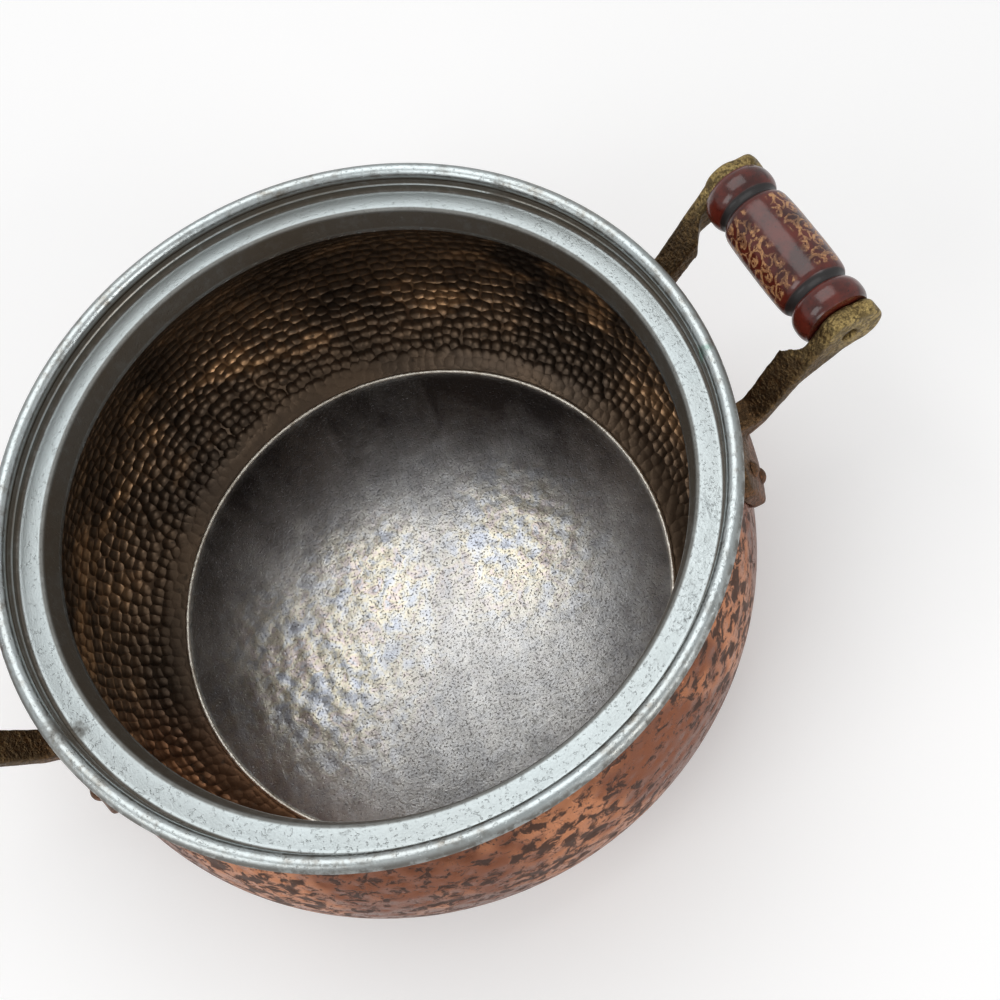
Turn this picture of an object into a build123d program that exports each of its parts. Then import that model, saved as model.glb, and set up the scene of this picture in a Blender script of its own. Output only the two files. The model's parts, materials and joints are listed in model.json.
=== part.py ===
"""A round-bellied hammered copper stockpot with a stepped rim and two grip handles.

Millimetres, +Z up. The origin is the middle of the base, on the surface that the pot stands on.
The handles point along +X and -X, and -Y is the front.
"""
import os
from math import asin, cos, degrees, radians, sin, sqrt

from build123d import *

os.makedirs("parts", exist_ok=True)

# Pot wall: a sheet that rises from a turned-in foot through the belly to a collar
wall_thickness = 1.2
base_radius = 87.6
foot_flange_width = 6.0
belly_radius = 112.6
belly_height = 43.5
shoulder_arc_radius = 55.0
collar_gap = 0.06

# Floor plate and the raised seam round it
floor_thickness = 1.2
floor_edge_gap = 0.05
seam_half_width = 1.0
seam_crest_half_width = 0.5
seam_height = 1.1
seam_overlap = 0.5

# Rim ring: rolled bead, step wall, lid seat and neck
rim_outer_radius = 105.4
rim_top_height = 102.5
bead_radius = 2.3
rim_sheet = 1.2
rim_wire_radius = 1.1
rim_wire_gap = 0.02
bead_overhang = 4.9
seat_width = 7.4
seat_depth = 8.5
seat_corner_radius = 0.9
step_groove_depth = 0.45
step_ridge_height = 2.6
lip_draw = 1.6
neck_depth = 8.3

# Handles: where they point, and the grip axis in a handle's own upright plane
handle_lead_angle = 2.6
grip_axis_run = 24.7
grip_axis_height = 97.4

# Turned grip, from its middle outwards
grip_barrel_radius = 10.7
grip_barrel_half = 10.5
grip_barrel_shoulder_radius = 8.9
grip_barrel_shoulder = 14.2
shoulder_bulge = 0.45
grip_groove_radius = 7.7
grip_groove_middle = 16.6
grip_bead_radius = 10.7
grip_bead_start = 18.6
grip_bead_edge_radius = 8.6
grip_half_length = 26.6

# Rod through the grip
rod_radius = 2.05
rod_recess = 1.5
rod_seat_gap = 0.02
rod_end_fillet = 0.3
grip_running_gap = 0.08
grip_end_play = 0.3

# Cast arm, seen from the side: foot at the belly, eye round the rod
arm_outer_face = 32.2
arm_root_depth = 11.6
eye_radius = 7.3
eye_tip_radius = 6.6
eye_tip_reach = 4.2
arm_bend_run = 1.9
arm_bend_top = 77.5
arm_bend_bottom = 69.5
arm_root_top = 73.0
arm_root_bottom = 60.0
arm_waist_run = 9.5
arm_waist_bottom = 83.0
arm_side_fillet = 5.0
arm_top_run = 4.0
arm_edge_fillet = 1.1
eye_shoulder_run = 3.65
eye_shoulder_rise = 6.3
eye_lump_radius = 2.4
eye_lump_run = 6.0
eye_lump_rise = 5.4

# Cast arm, seen from above: wide at the root, stepped in at the spur to clear the grip
arm_root_inner_face = 24.4
arm_spur_inner_face = 21.9
spur_run = 8.1
spur_slope = 3.6
spur_turn_run = 1.2
spur_turn_depth = 1.8

# Foot of an arm: a curved plate on the belly, spread away from the middle of the handle
foot_thickness = 4.0
foot_top_height = 73.6
foot_bottom_height = 51.0
foot_far_face = 50.0
foot_corner_radius = 7.0
foot_edge_fillet = 0.9
foot_wall_gap = 0.03

# Rivets through foot and wall
rivet_shank_radius = 1.6
rivet_hole_gap = 0.03
rivet_head_radius = 2.7
rivet_head_height = 1.5
rivet_tail_radius = 2.4
rivet_tail_height = 0.6
rivet_seat_gap = 0.03
rivet_tail_gap = 0.1
rivet_height_upper = 65.5
rivet_height_lower = 57.5
rivet_face = 41.0

# Worked out from the sizes above
seat_outer_radius = rim_outer_radius - bead_overhang
seat_inner_radius = seat_outer_radius - seat_width
seat_height = rim_top_height - seat_depth
lip_radius = seat_inner_radius - lip_draw
lip_height = seat_height - neck_depth
grip_axis_reach = belly_radius + grip_axis_run
arm_root_reach = belly_radius - arm_root_depth
arm_bend_reach = belly_radius + arm_bend_run
arm_waist_reach = arm_bend_reach + arm_waist_run
spur_reach = arm_bend_reach + spur_run
eye_lump_reach = grip_axis_reach + eye_lump_run
eye_lump_height = grip_axis_height + eye_lump_rise
bead_center_radius = rim_outer_radius - bead_radius
bead_center_height = rim_top_height - bead_radius
lower_drop = belly_height
lower_run = belly_radius - base_radius
lower_arc_radius = (lower_drop**2 + lower_run**2) / (2 * lower_run)
floor_top = wall_thickness + floor_thickness
eye_inner_face = grip_half_length + grip_end_play
collar_radius = seat_inner_radius + rim_sheet + collar_gap + wall_thickness
collar_top = seat_height - rim_sheet - collar_gap


def wall_radius(height, inset=0.0):
    """Radius of the wall at a height, for the outer face or one inset from it."""
    arc_radius = lower_arc_radius if height < belly_height else shoulder_arc_radius
    center = belly_radius - arc_radius
    rise = height - belly_height
    return center + sqrt((arc_radius - inset) ** 2 - rise**2)


def wall_tilt(height):
    """Angle of the wall's outward normal above level, in degrees."""
    arc_radius = lower_arc_radius if height < belly_height else shoulder_arc_radius
    return degrees(asin((height - belly_height) / arc_radius))


def place_handle(side):
    """Turn a handle from its own upright plane to its place on the pot."""
    angle = handle_lead_angle if side == "right" else 180 - handle_lead_angle
    return Location((0, 0, 0), (0, 0, angle))


def save(part, name):
    """Label one finished piece and write it."""
    part.label = name
    export_step(part, f"parts/{name}.step")


def rivet_plane(end, height):
    """Plane on the outer face of the wall for a rivet, its Z along the outward normal."""
    radius = wall_radius(height)
    across = end * rivet_face
    turn = degrees(asin(across / radius))
    tilt = wall_tilt(height)
    out = Vector(
        cos(radians(tilt)) * cos(radians(turn)),
        cos(radians(tilt)) * sin(radians(turn)),
        sin(radians(tilt)),
    )
    spot = Vector(radius * cos(radians(turn)), across, height)
    return Plane(origin=spot, z_dir=out)


rivet_heights = {"upper": rivet_height_upper, "lower": rivet_height_lower}
ends = {"front": -1, "back": 1}
sides = ("right", "left")


def end_sign(side, end):
    """Which end of its own grip axis an arm stands on, so that front is always at -Y."""
    return ends[end] if side == "right" else -ends[end]


def collar_start(inset):
    """Height at which the wall's outer face, or one inset from it, turns up into the collar."""
    center = belly_radius - shoulder_arc_radius
    reach = collar_radius - inset - center
    return belly_height + sqrt((shoulder_arc_radius - inset) ** 2 - reach**2)


def wall_arc(low, high, inset):
    """Arc of the wall's section between two heights on one side of the belly."""
    middle = (low + high) / 2
    radii = [wall_radius(height, inset) for height in (low, middle, high)]
    return ThreePointArc((radii[0], low), (radii[1], middle), (radii[2], high))


def make_pot_body():
    """Spun and hammered wall, with its foot turned in and a collar under the rim."""
    flange_radius = base_radius - foot_flange_width
    inner_collar = collar_radius - wall_thickness
    with BuildPart() as pot_body:
        with BuildSketch(Plane.XZ):
            with BuildLine():
                Line((flange_radius, 0), (base_radius, 0))
                wall_arc(0, belly_height, 0)
                wall_arc(belly_height, collar_start(0), 0)
                Polyline(
                    (collar_radius, collar_start(0)),
                    (collar_radius, collar_top),
                    (inner_collar, collar_top),
                    (inner_collar, collar_start(wall_thickness)),
                )
                wall_arc(belly_height, collar_start(wall_thickness), wall_thickness)
                wall_arc(wall_thickness, belly_height, wall_thickness)
                Polyline(
                    (wall_radius(wall_thickness, wall_thickness), wall_thickness),
                    (flange_radius, wall_thickness),
                    (flange_radius, 0),
                )
            make_face()
        revolve(axis=Axis.Z)
        for side in sides:
            for end in ends:
                for height in rivet_heights.values():
                    seat = rivet_plane(end_sign(side, end), height).offset(wall_thickness)
                    with Locations(place_handle(side) * seat.location):
                        Hole(rivet_shank_radius + rivet_hole_gap, depth=3 * wall_thickness)
    return pot_body.part


def make_base_disc():
    """Tinned floor plate that lies on the turned-in foot of the wall."""
    disc_radius = wall_radius(wall_thickness, wall_thickness) - floor_edge_gap
    with BuildPart() as base_disc:
        with BuildSketch(Plane.XY.offset(wall_thickness)):
            Circle(disc_radius)
        extrude(amount=floor_thickness)
    return base_disc.part


def make_seam_ring():
    """Raised seam with a narrow crest over the edge of the floor plate."""
    disc_radius = wall_radius(wall_thickness, wall_thickness) - floor_edge_gap
    middle = disc_radius - seam_overlap + seam_half_width
    with BuildPart() as seam_ring:
        with BuildSketch(Plane.XZ):
            with BuildLine():
                Polyline(
                    (middle - seam_half_width, floor_top),
                    (middle + seam_half_width, floor_top),
                    (middle + seam_crest_half_width, floor_top + seam_height),
                    (middle - seam_crest_half_width, floor_top + seam_height),
                    close=True,
                )
            make_face()
        revolve(axis=Axis.Z)
    return seam_ring.part


def make_rim_ring():
    """Formed ring: rolled bead, grooved step wall, lid seat and neck."""
    ridge_height = seat_height + step_ridge_height
    groove_radius = seat_outer_radius + step_groove_depth
    seat_under = seat_height - rim_sheet
    wall_top = bead_center_height - bead_radius / 2
    with BuildPart() as rim_ring:
        with BuildSketch(Plane.XZ) as section:
            with BuildLine():
                Polyline(
                    (seat_outer_radius + bead_radius, bead_center_height),
                    (groove_radius, wall_top),
                    (groove_radius, ridge_height + step_groove_depth),
                    (seat_outer_radius, ridge_height),
                    (groove_radius, ridge_height - step_groove_depth),
                    (groove_radius, seat_height + step_groove_depth),
                    (seat_outer_radius, seat_height),
                    (seat_inner_radius, seat_height),
                    (lip_radius, lip_height),
                    (lip_radius + rim_sheet, lip_height),
                    (seat_inner_radius + rim_sheet, seat_under),
                    (groove_radius + rim_sheet, seat_under),
                    (groove_radius + rim_sheet, wall_top),
                    close=True,
                )
            make_face()
            seat_corner = section.vertices().sort_by_distance((seat_inner_radius, 0, seat_height))[0]
            fillet(seat_corner, seat_corner_radius)
            with Locations((bead_center_radius, bead_center_height)):
                Circle(bead_radius)
                Circle(rim_wire_radius + rim_wire_gap, mode=Mode.SUBTRACT)
        revolve(axis=Axis.Z)
    return rim_ring.part


def make_rim_wire():
    """Stiffening wire inside the rolled bead."""
    with BuildPart() as rim_wire:
        with BuildSketch(Plane.XZ):
            with Locations((bead_center_radius, bead_center_height)):
                Circle(rim_wire_radius)
        revolve(axis=Axis.Z)
    return rim_wire.part


def shoulder_solid(clearance):
    """Solid inside the wall's outer face and a clearance, where the feet lie on it."""
    low = foot_bottom_height - foot_thickness
    high = foot_top_height + foot_thickness
    with BuildPart() as core:
        with BuildSketch(Plane.XZ):
            with BuildLine():
                wall_arc(low, high, -clearance)
                Polyline(
                    (wall_radius(high, -clearance), high),
                    (0, high),
                    (0, low),
                    (wall_radius(low, -clearance), low),
                )
            make_face()
        revolve(axis=Axis.Z)
    return core.part


def make_foot():
    """Curved plate on the belly with rounded corners, spread away from the handle's middle."""
    foot_width = foot_far_face - arm_spur_inner_face
    foot_rise = foot_top_height - foot_bottom_height
    with BuildPart() as foot:
        with BuildSketch(Plane.YZ):
            with Locations((-arm_spur_inner_face - foot_width / 2, foot_bottom_height + foot_rise / 2)):
                RectangleRounded(foot_width, foot_rise, foot_corner_radius)
        extrude(amount=grip_axis_reach)
        add(shoulder_solid(foot_thickness), mode=Mode.INTERSECT)
        outer_edges = foot.edges().filter_by(lambda edge: edge.center().X > foot_far_face)
        fillet(outer_edges, foot_edge_fillet)
    return foot.part


def make_arm(side, end):
    """Cast arm in a handle's own plane: tapered limb with an eye, a spur and a riveted foot."""
    tip_reach = grip_axis_reach + eye_tip_reach
    far = tip_reach + 2 * eye_tip_radius
    high = rim_top_height + 2 * eye_radius
    sign = end_sign(side, end)
    with BuildPart() as arm:
        with BuildSketch(Plane.XZ.offset(arm_outer_face)) as side_view:
            with BuildLine():
                Polyline(
                    (arm_root_reach, arm_root_top),
                    (arm_bend_reach - arm_top_run, arm_root_top),
                    (arm_bend_reach, arm_bend_top),
                    (grip_axis_reach - eye_shoulder_run, grip_axis_height + eye_shoulder_rise),
                    (grip_axis_reach, grip_axis_height),
                    (grip_axis_reach, grip_axis_height - eye_radius),
                    (arm_waist_reach, arm_waist_bottom),
                    (arm_bend_reach, arm_bend_bottom),
                    (arm_root_reach, arm_root_bottom),
                    close=True,
                )
            make_face()
            with Locations((grip_axis_reach, grip_axis_height)):
                Circle(eye_radius)
            with Locations((tip_reach, grip_axis_height)):
                Circle(eye_tip_radius)
            with Locations((grip_axis_reach + eye_tip_reach / 2, grip_axis_height)):
                Rectangle(eye_tip_reach, 2 * eye_tip_radius)
            corners = side_view.vertices()
            for spot in (
                (arm_bend_reach, arm_bend_top),
                (arm_waist_reach, arm_waist_bottom),
                (arm_bend_reach, arm_bend_bottom),
            ):
                bend = corners.sort_by_distance(Vector(spot[0], -arm_outer_face, spot[1]))[0]
                fillet(bend, arm_side_fillet)
        extrude(amount=-(arm_outer_face - arm_spur_inner_face))
        with BuildSketch(Plane.XY):
            with BuildLine():
                Polyline(
                    (arm_root_reach, -arm_root_inner_face),
                    (spur_reach, -arm_spur_inner_face),
                    (spur_reach + spur_turn_run, -arm_spur_inner_face - spur_turn_depth),
                    (spur_reach + spur_slope, -eye_inner_face),
                    (far, -eye_inner_face),
                    (far, -arm_outer_face),
                    (arm_root_reach, -arm_outer_face),
                    close=True,
                )
            make_face()
        extrude(amount=high, mode=Mode.INTERSECT)
        outer_face = arm.faces().sort_by(Axis.Y)[0]
        fillet(outer_face.edges(), arm_edge_fillet)
        with Locations((eye_lump_reach, -(arm_outer_face + eye_inner_face) / 2, eye_lump_height)):
            Sphere(eye_lump_radius)
        add(make_foot())
        add(shoulder_solid(foot_wall_gap), mode=Mode.SUBTRACT)
        for height in rivet_heights.values():
            seat = rivet_plane(-1, height).offset(foot_thickness + rivet_head_height)
            with Locations(seat.location):
                Hole(rivet_shank_radius + rivet_hole_gap, depth=foot_thickness + 2 * rivet_head_height)
        with BuildSketch(Plane.XZ.offset(arm_outer_face)):
            with Locations((grip_axis_reach, grip_axis_height)):
                Circle(rod_radius + rod_seat_gap)
        extrude(amount=-arm_outer_face, mode=Mode.SUBTRACT)
    casting = arm.part if sign < 0 else arm.part.mirror(Plane.XZ)
    return place_handle(side) * casting


def make_rod(side):
    """Straight rod through both eyes and the grip, its ends a little below the outer faces."""
    half_length = arm_outer_face - rod_recess
    with BuildPart() as rod:
        with BuildSketch(Plane.XZ.offset(-half_length)):
            with Locations((grip_axis_reach, grip_axis_height)):
                Circle(rod_radius)
        extrude(amount=2 * half_length)
        fillet(rod.edges().filter_by(GeomType.CIRCLE), rod_end_fillet)
    return place_handle(side) * rod.part


def make_grip(side):
    """Turned grip: swelled barrel between two grooves, with a bead at each end and a bore."""
    bore_radius = rod_radius + grip_running_gap
    shoulder_middle = (grip_barrel_half + grip_barrel_shoulder) / 2 + shoulder_bulge
    shoulder_middle_radius = (grip_barrel_radius + grip_barrel_shoulder_radius) / 2 + shoulder_bulge
    bead_middle = (grip_bead_start + grip_half_length) / 2
    with BuildPart() as grip:
        with BuildSketch(Plane(origin=(grip_axis_reach, 0, grip_axis_height), z_dir=(0, 0, 1))):
            with BuildLine() as half_outline:
                Line((grip_barrel_radius, 0), (grip_barrel_radius, grip_barrel_half))
                ThreePointArc(
                    (grip_barrel_radius, grip_barrel_half),
                    (shoulder_middle_radius, shoulder_middle),
                    (grip_barrel_shoulder_radius, grip_barrel_shoulder),
                )
                Polyline(
                    (grip_barrel_shoulder_radius, grip_barrel_shoulder),
                    (grip_groove_radius, grip_groove_middle),
                    (grip_bead_edge_radius, grip_bead_start),
                )
                ThreePointArc(
                    (grip_bead_edge_radius, grip_bead_start),
                    (grip_bead_radius, bead_middle),
                    (grip_bead_edge_radius, grip_half_length),
                )
                Polyline(
                    (grip_bead_edge_radius, grip_half_length),
                    (bore_radius, grip_half_length),
                    (bore_radius, 0),
                )
                mirror(about=Plane.XZ)
            make_face()
        revolve(axis=Axis((grip_axis_reach, 0, grip_axis_height), (0, 1, 0)))
    return place_handle(side) * grip.part


def make_rivet(side, end, height):
    """Round-headed rivet through a foot and the wall, with a low hammered tail inside the pot."""
    head_seat = foot_thickness + rivet_seat_gap
    head_top = head_seat + rivet_head_height
    tail_seat = -wall_thickness - rivet_tail_gap
    dome_radius = (rivet_head_radius**2 + rivet_head_height**2) / (2 * rivet_head_height)
    dome_turn = asin(rivet_head_radius / dome_radius) / 2
    dome_middle = (dome_radius * sin(dome_turn), head_top - dome_radius * (1 - cos(dome_turn)))
    with BuildPart() as rivet:
        with BuildSketch(Plane.XZ):
            with BuildLine():
                Polyline(
                    (0, tail_seat - rivet_tail_height),
                    (rivet_tail_radius - rivet_tail_height, tail_seat - rivet_tail_height),
                    (rivet_tail_radius, tail_seat),
                    (rivet_shank_radius, tail_seat),
                    (rivet_shank_radius, head_seat),
                    (rivet_head_radius, head_seat),
                )
                ThreePointArc((rivet_head_radius, head_seat), dome_middle, (0, head_top))
                Line((0, head_top), (0, tail_seat - rivet_tail_height))
            make_face()
        revolve(axis=Axis.Z)
    seat = rivet_plane(end_sign(side, end), height)
    return place_handle(side) * seat.location * rivet.part


save(make_pot_body(), "pot_body")
save(make_base_disc(), "base_disc")
save(make_seam_ring(), "seam_ring")
save(make_rim_ring(), "rim_ring")
save(make_rim_wire(), "rim_wire")
for side in sides:
    for end in ends:
        save(make_arm(side, end), f"{side}_{end}_arm")
        for name, height in rivet_heights.items():
            save(make_rivet(side, end, height), f"{side}_{end}_rivet_{name}")
    save(make_rod(side), f"{side}_rod")
    save(make_grip(side), f"{side}_grip")
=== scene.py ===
"""A hammered copper stockpot with a tinned rim and two turned grips, on a pale floor."""

import json
import logging
from dataclasses import dataclass, field
from enum import Enum
from math import cos, pi, radians, sin, sqrt
from typing import Any, Optional, Sequence, Union

import bpy
import numpy as np
from mathutils import Matrix, Vector

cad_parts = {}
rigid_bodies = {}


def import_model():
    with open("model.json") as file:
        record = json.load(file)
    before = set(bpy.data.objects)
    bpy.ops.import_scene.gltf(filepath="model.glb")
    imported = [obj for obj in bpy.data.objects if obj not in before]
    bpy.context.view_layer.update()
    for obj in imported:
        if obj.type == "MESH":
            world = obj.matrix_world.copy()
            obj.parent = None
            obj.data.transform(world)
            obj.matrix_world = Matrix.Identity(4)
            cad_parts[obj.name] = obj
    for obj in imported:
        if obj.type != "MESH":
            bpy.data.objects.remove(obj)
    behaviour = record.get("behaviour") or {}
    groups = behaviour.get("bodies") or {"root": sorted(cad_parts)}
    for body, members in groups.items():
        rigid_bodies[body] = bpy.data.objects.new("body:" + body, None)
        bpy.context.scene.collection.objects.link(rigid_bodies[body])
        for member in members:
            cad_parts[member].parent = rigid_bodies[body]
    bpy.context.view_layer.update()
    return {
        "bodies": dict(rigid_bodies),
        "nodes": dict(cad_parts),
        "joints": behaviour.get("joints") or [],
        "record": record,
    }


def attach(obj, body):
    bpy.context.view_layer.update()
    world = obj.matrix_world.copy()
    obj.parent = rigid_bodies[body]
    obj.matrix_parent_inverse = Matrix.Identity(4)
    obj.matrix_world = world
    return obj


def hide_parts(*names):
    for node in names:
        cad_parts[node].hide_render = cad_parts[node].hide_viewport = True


log = logging.getLogger("stockpot")
MM = 0.001
WELD = 1e-6
SPIN_WELD = 2e-6
ROUND_STEPS = 256
Color = tuple[float, float, float]
Point = tuple[float, float]


class Side(Enum):
    """The side of the pot that a handle stands on."""

    RIGHT = "right"
    LEFT = "left"


class End(Enum):
    """The end of a handle, at the front or the back of the pot."""

    FRONT = "front"
    BACK = "back"


class Sig:
    """A shader socket with arithmetic: each operation adds its Math node."""

    def __init__(self, tree: "Tree", socket: Any) -> None:
        """Wrap one output socket of a tree."""
        self.tree = tree
        self.socket = socket

    def math(self, operation: str, *values: "Number") -> "Sig":
        """Add a Math node on this value and others."""
        return self.tree.node("ShaderNodeMath", {"operation": operation}, dict(enumerate((self, *values))))

    def other(self, name: str) -> "Sig":
        """Another output of the same node, by its name."""
        return Sig(self.tree, self.socket.node.outputs[name])

    def __add__(self, value: "Number") -> "Sig":
        """This value plus another."""
        return self.math("ADD", value)

    def __radd__(self, value: "Number") -> "Sig":
        """Another value plus this."""
        return self.math("ADD", value)

    def __sub__(self, value: "Number") -> "Sig":
        """This value less another."""
        return self.math("SUBTRACT", value)

    def __rsub__(self, value: float) -> "Sig":
        """A number less this value."""
        return self.tree.node("ShaderNodeMath", {"operation": "SUBTRACT"}, {0: value, 1: self})

    def __mul__(self, value: "Number") -> "Sig":
        """This value times another."""
        return self.math("MULTIPLY", value)

    def __rmul__(self, value: "Number") -> "Sig":
        """Another value times this."""
        return self.math("MULTIPLY", value)

    def __truediv__(self, value: "Number") -> "Sig":
        """This value divided by another."""
        return self.math("DIVIDE", value)

    def low(self, value: "Number") -> "Sig":
        """The smaller of this and another value."""
        return self.math("MINIMUM", value)

    def high(self, value: "Number") -> "Sig":
        """The larger of this and another value."""
        return self.math("MAXIMUM", value)

    def step(self, start: float, end: float) -> "Sig":
        """A smooth rise from 0 at start to 1 at end, or a fall where start is larger.

        Args:
            start: value where the result is 0.
            end: value where the result is 1.

        Returns:
            The eased result between 0 and 1.
        """
        settings = {"interpolation_type": "SMOOTHSTEP", "clamp": True}
        if start < end:
            return self.tree.node("ShaderNodeMapRange", settings, {0: self, 1: start, 2: end, 3: 0.0, 4: 1.0})
        return self.tree.node("ShaderNodeMapRange", settings, {0: self, 1: end, 2: start, 3: 1.0, 4: 0.0})

    def band(self, middle: float, half: float, soft: float) -> "Sig":
        """1 within half of the middle, falling to 0 over soft."""
        return (self - middle).math("ABSOLUTE").step(half + soft, half)


Number = Union[Sig, float]


class Tree:
    """The node tree of one material or world."""

    def __init__(self, material: Union[bpy.types.Material, bpy.types.World]) -> None:
        """Start an empty tree in a material.

        Args:
            material: the material, or the world, that the tree belongs to.
        """
        material.use_nodes = True
        self.nodes = material.node_tree.nodes
        self.links = material.node_tree.links
        self.nodes.clear()

    def node(self, kind: str, settings: dict[str, Any], values: dict[Any, Any], output: Any = 0) -> Sig:
        """Add one node.

        Args:
            kind: the node's type.
            settings: its properties, with a ramp's stops under "stops".
            values: numbers, colours or links by socket name or index.
            output: name or index of the output that is returned.

        Returns:
            The chosen output.
        """
        made = self.nodes.new(kind)
        for key, setting in settings.items():
            if key == "stops":
                self._stops(made.color_ramp, setting)
            else:
                setattr(made, key, setting)
        for key, value in values.items():
            if isinstance(value, Sig):
                self.links.new(value.socket, made.inputs[key])
            else:
                made.inputs[key].default_value = value
        return Sig(self, made.outputs[output])

    def _stops(self, ramp: Any, stops: Sequence[tuple[float, Color]]) -> None:
        """Set the stops of a colour ramp.

        Args:
            ramp: the ramp.
            stops: place and colour of each stop.
        """
        while len(ramp.elements) < len(stops):
            ramp.elements.new(0.5)
        for element, (place, color) in zip(ramp.elements, stops):
            element.position = place
            element.color = (*color, 1.0)

    def finish(self, shader: Sig) -> None:
        """Lead a shader to the material's output."""
        output = self.nodes.new("ShaderNodeOutputMaterial")
        self.links.new(shader.socket, output.inputs["Surface"])

    def place(self) -> Sig:
        """Object coordinates."""
        return self.node("ShaderNodeTexCoord", {}, {}, "Object")

    def uv(self) -> Sig:
        """The piece's own UV map, in metres."""
        return self.node("ShaderNodeUVMap", {"uv_map": "section"}, {})

    def split(self, vector: Sig) -> tuple[Sig, Sig, Sig]:
        """The three parts of a vector."""
        first = self.node("ShaderNodeSeparateXYZ", {}, {0: vector}, "X")
        return first, first.other("Y"), first.other("Z")

    def join(self, x: Number, y: Number, z: Number = 0.0) -> Sig:
        """A vector from three values."""
        return self.node("ShaderNodeCombineXYZ", {}, {0: x, 1: y, 2: z})

    def scale(self, vector: Sig, factors: Color) -> Sig:
        """A vector times fixed factors."""
        return self.node("ShaderNodeVectorMath", {"operation": "MULTIPLY"}, {0: vector, 1: factors})

    def distance(self, vector: Sig, point: Color) -> Sig:
        """Distance of a vector from a point."""
        return self.node("ShaderNodeVectorMath", {"operation": "DISTANCE"}, {0: vector, 1: point}, "Value")

    def noise(
        self, vector: Sig, scale: float, detail: float = 3.0, rough: float = 0.55, warp: float = 0.0
    ) -> Sig:
        """Noise from about 0 to 1.

        Args:
            vector: where it is read.
            scale: repeats per metre.
            detail: octaves.
            rough: strength of the fine octaves.
            warp: distortion.

        Returns:
            The noise.
        """
        values = {"Vector": vector, "Scale": scale, "Detail": detail, "Roughness": rough, "Distortion": warp}
        return self.node("ShaderNodeTexNoise", {}, values, "Fac")

    def cells(self, vector: Sig, scale: float, feature: str = "F1", random: float = 1.0) -> Sig:
        """Distance in a flat field of cells.

        Args:
            vector: where it is read.
            scale: cells per metre.
            feature: which distance is taken.
            random: how uneven the cells are.

        Returns:
            The distance.
        """
        settings = {"feature": feature, "voronoi_dimensions": "2D"}
        values = {"Vector": vector, "Scale": scale, "Randomness": random}
        return self.node("ShaderNodeTexVoronoi", settings, values, "Distance")

    def mix(self, factor: Number, first: Union[Sig, Color], second: Union[Sig, Color]) -> Sig:
        """Blend two colours.

        Args:
            factor: share of the second colour.
            first: colour at 0.
            second: colour at 1.

        Returns:
            The blended colour.
        """
        first = first if isinstance(first, Sig) else (*first, 1.0)
        second = second if isinstance(second, Sig) else (*second, 1.0)
        return self.node("ShaderNodeMix", {"data_type": "RGBA"}, {0: factor, 6: first, 7: second}, 2)

    def ramp(self, factor: Sig, *stops: tuple[float, Color]) -> Sig:
        """A colour ramp over a value."""
        return self.node("ShaderNodeValToRGB", {"stops": stops}, {0: factor}, "Color")


@dataclass
class Surface:
    """What a finish feeds to its shader."""

    color: Sig
    roughness: Number
    metallic: Number = 1.0
    height: Optional[Sig] = None
    depth: float = 0.0002
    coat: float = 0.0


@dataclass(frozen=True)
class Finish:
    """A finish with its own material."""

    name: str

    def surface(self, tree: Tree) -> Surface:
        """What the finish feeds to its shader."""
        raise NotImplementedError

    def material(self) -> bpy.types.Material:
        """Make the material, or return the one made before.

        The slots of the record are loaded as materials, so a finish never has the name of a slot.

        Returns:
            The material.
        """
        if self.name in bpy.data.materials:
            return bpy.data.materials[self.name]
        material = bpy.data.materials.new(self.name)
        tree = Tree(material)
        look = self.surface(tree)
        values = {"Base Color": look.color, "Roughness": look.roughness, "Metallic": look.metallic}
        if look.height is not None:
            bump = {"Height": look.height, "Distance": look.depth, "Strength": 1.0}
            values["Normal"] = tree.node("ShaderNodeBump", {}, bump)
        if look.coat:
            values["Coat Weight"] = look.coat
            values["Coat Roughness"] = 0.12
        tree.finish(tree.node("ShaderNodeBsdfPrincipled", {}, values))
        return material


@dataclass(frozen=True)
class SpeckledCopper(Finish):
    """Outside of the wall: red-brown hammered copper with dark specks and brighter rubbed patches."""

    base: Color = (0.25, 0.098, 0.056)
    bright: Color = (0.56, 0.24, 0.125)
    speck: Color = (0.052, 0.026, 0.018)
    painted_shade: Color = (0.105, 0.048, 0.030)

    def surface(self, tree: Tree) -> Surface:
        """Specks, streaks, rubbed patches, painted shade under the rim and at the foot, and shallow hammer
        marks.

        Args:
            tree: the material's tree.

        Returns:
            What the finish feeds to its shader.
        """
        place = tree.place()
        height = tree.split(place)[2]
        broad = tree.noise(place, 22, 3)
        streaks = tree.noise(tree.scale(place, (1.0, 1.0, 1.5)), 210, 5, 0.66, 0.5)
        specks = (streaks + (broad - 0.5) * 0.40).step(0.505, 0.60)
        fine = tree.noise(place, 620, 3, 0.6).step(0.60, 0.68) * 0.75
        dents = tree.cells(tree.uv(), 190, "SMOOTH_F1", 0.85)
        rubbed = (broad + dents * 0.12).step(0.54, 0.68)
        metal = tree.mix(rubbed, self.base, self.bright)
        # painted shade: the copper darkens under the overhanging rim and near the foot
        shadow = height.step(0.070, 0.088).high(height.step(0.022, 0.004) * 0.7)
        metal = tree.mix(shadow * 0.75, metal, self.painted_shade)
        dark = specks.high(fine)
        color = tree.mix(dark * 0.93, metal, self.speck)
        rough = dark * 0.30 + tree.noise(place, 300) * 0.16 + 0.20
        relief = dents * 0.9 - dark * 0.10 + tree.noise(place, 900) * 0.05
        return Surface(color, rough, 1.0 - dark * 0.45, relief, 0.0011)


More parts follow.
